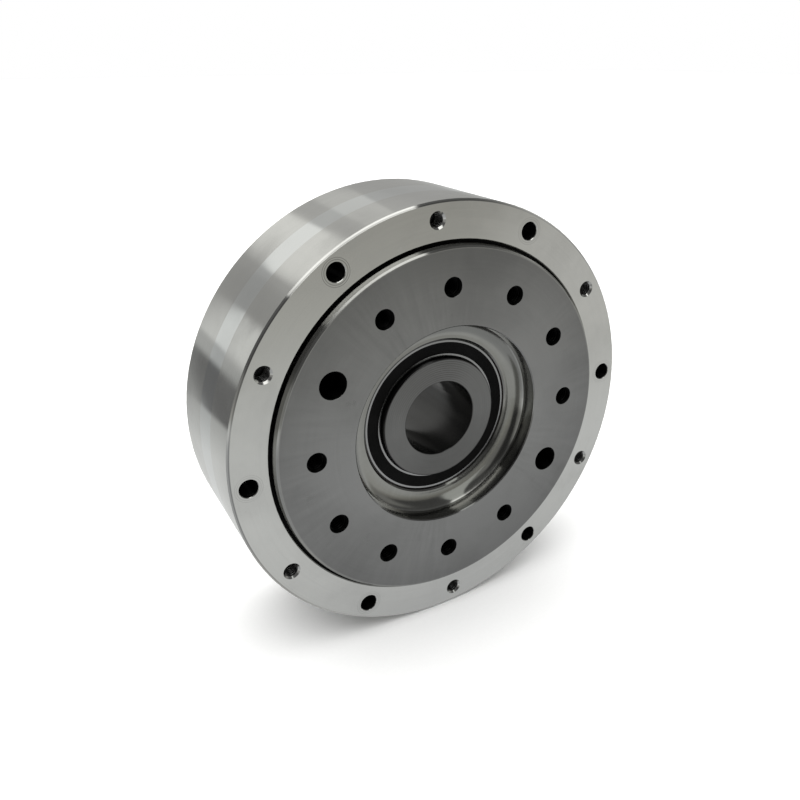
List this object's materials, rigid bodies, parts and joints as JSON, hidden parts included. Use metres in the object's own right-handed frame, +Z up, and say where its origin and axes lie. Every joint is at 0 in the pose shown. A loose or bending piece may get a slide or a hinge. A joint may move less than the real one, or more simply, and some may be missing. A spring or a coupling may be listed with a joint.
{
  "type": "cycloidal reducer",
  "caption": "Round hollow-shaft cycloidal reducer: a ring-shaped case, an output flange with a centring recess, and a hub that drives cycloid discs inside a ring of pins.",
  "frame": {"origin": "on the reducer's axis, in the plane of the case's front face, at the centre of the case's bolt circle", "axes": "-Y along the axis, out of the output flange's face; +Z up, towards the first eccentric's high side at rest; +X to the right as seen from the output side"},
  "size_m": [0.14, 0.0471, 0.14],
  "materials": {
    "case_steel": "fine turned steel",
    "ground_steel": "bright ground steel",
    "flange_steel": "darker fine turned steel",
    "shaft_steel": "dark turned steel",
    "race_steel": "ground bearing steel",
    "hardened_steel": "polished hardened steel",
    "spring_steel": "dark spring steel",
    "disc_steel": "ground hardened steel",
    "screw_black": "black oxide steel",
    "seal_rubber": "black nitrile rubber",
    "cage_brass": "machined brass",
    "cage_steel": "pressed steel"
  },
  "bodies": {
    "housing": {"front_case_ring": "case_steel", "pin_ring": "ground_steel", "rear_case_ring": "case_steel", "ring_pins": "hardened_steel", "case_screws": "screw_black", "case_dowels": "hardened_steel", "case_o_rings": "seal_rubber", "front_oil_seal": "seal_rubber", "rear_oil_seal": "seal_rubber", "front_main_outer_race": "race_steel", "rear_main_outer_race": "race_steel"},
    "output_carrier": {"output_flange": "flange_steel", "rear_flange": "flange_steel", "flange_screws": "screw_black", "output_pins": "hardened_steel", "output_pin_sleeves": "race_steel", "front_main_inner_race": "race_steel", "rear_main_inner_race": "race_steel", "front_shaft_outer_race": "race_steel", "rear_shaft_outer_race": "race_steel", "front_shaft_seals": "seal_rubber", "rear_shaft_seals": "seal_rubber", "bearing_circlip": "spring_steel"},
    "input_shaft": {"input_shaft": "shaft_steel", "front_shaft_inner_race": "race_steel", "rear_shaft_inner_race": "race_steel"},
    "front_disc": {"front_cycloid_disc": "disc_steel"},
    "rear_disc": {"rear_cycloid_disc": "disc_steel"},
    "front_eccentric_set": {"front_eccentric_rollers": "hardened_steel", "front_eccentric_cage": "cage_brass"},
    "rear_eccentric_set": {"rear_eccentric_rollers": "hardened_steel", "rear_eccentric_cage": "cage_brass"},
    "front_main_ball_set": {"front_main_balls": "hardened_steel", "front_main_cage": "cage_brass"},
    "rear_main_ball_set": {"rear_main_balls": "hardened_steel", "rear_main_cage": "cage_brass"},
    "front_shaft_ball_set": {"front_shaft_balls": "hardened_steel", "front_shaft_cage": "cage_steel"},
    "rear_shaft_ball_set": {"rear_shaft_balls": "hardened_steel", "rear_shaft_cage": "cage_steel"}
  },
  "joints": [
    {"name": "output_turn", "type": "hinge", "parent": "housing", "child": "output_carrier", "pos_m": [0, 0, 0], "axis": [0, -1, 0], "continuous": true},
    {"name": "input_turn", "type": "hinge", "parent": "housing", "child": "input_shaft", "pos_m": [0, 0, 0], "axis": [0, -1, 0], "continuous": true},
    {"name": "front_disc_turn", "type": "hinge", "parent": "input_shaft", "child": "front_disc", "pos_m": [0, 0, 0.001], "axis": [0, -1, 0], "continuous": true},
    {"name": "rear_disc_turn", "type": "hinge", "parent": "input_shaft", "child": "rear_disc", "pos_m": [0, 0, -0.001], "axis": [0, -1, 0], "continuous": true},
    {"name": "front_eccentric_cage_turn", "type": "hinge", "parent": "input_shaft", "child": "front_eccentric_set", "pos_m": [0, 0, 0.001], "axis": [0, -1, 0], "continuous": true},
    {"name": "rear_eccentric_cage_turn", "type": "hinge", "parent": "input_shaft", "child": "rear_eccentric_set", "pos_m": [0, 0, -0.001], "axis": [0, -1, 0], "continuous": true},
    {"name": "front_main_cage_turn", "type": "hinge", "parent": "housing", "child": "front_main_ball_set", "pos_m": [0, 0, 0], "axis": [0, -1, 0], "continuous": true},
    {"name": "rear_main_cage_turn", "type": "hinge", "parent": "housing", "child": "rear_main_ball_set", "pos_m": [0, 0, 0], "axis": [0, -1, 0], "continuous": true},
    {"name": "front_shaft_cage_turn", "type": "hinge", "parent": "input_shaft", "child": "front_shaft_ball_set", "pos_m": [0, 0, 0], "axis": [0, -1, 0], "continuous": true},
    {"name": "rear_shaft_cage_turn", "type": "hinge", "parent": "input_shaft", "child": "rear_shaft_ball_set", "pos_m": [0, 0, 0], "axis": [0, -1, 0], "continuous": true}
  ],
  "couplings": [
    {"joint": "input_turn", "follows": "output_turn", "ratio": -39},
    {"joint": "front_disc_turn", "follows": "output_turn", "ratio": 40},
    {"joint": "rear_disc_turn", "follows": "output_turn", "ratio": 40},
    {"joint": "front_eccentric_cage_turn", "follows": "output_turn", "ratio": 21.47},
    {"joint": "rear_eccentric_cage_turn", "follows": "output_turn", "ratio": 21.47},
    {"joint": "front_main_cage_turn", "follows": "output_turn", "ratio": 0.47778},
    {"joint": "rear_main_cage_turn", "follows": "output_turn", "ratio": 0.47778},
    {"joint": "front_shaft_cage_turn", "follows": "output_turn", "ratio": 21.565},
    {"joint": "rear_shaft_cage_turn", "follows": "output_turn", "ratio": 21.565}
  ]
}
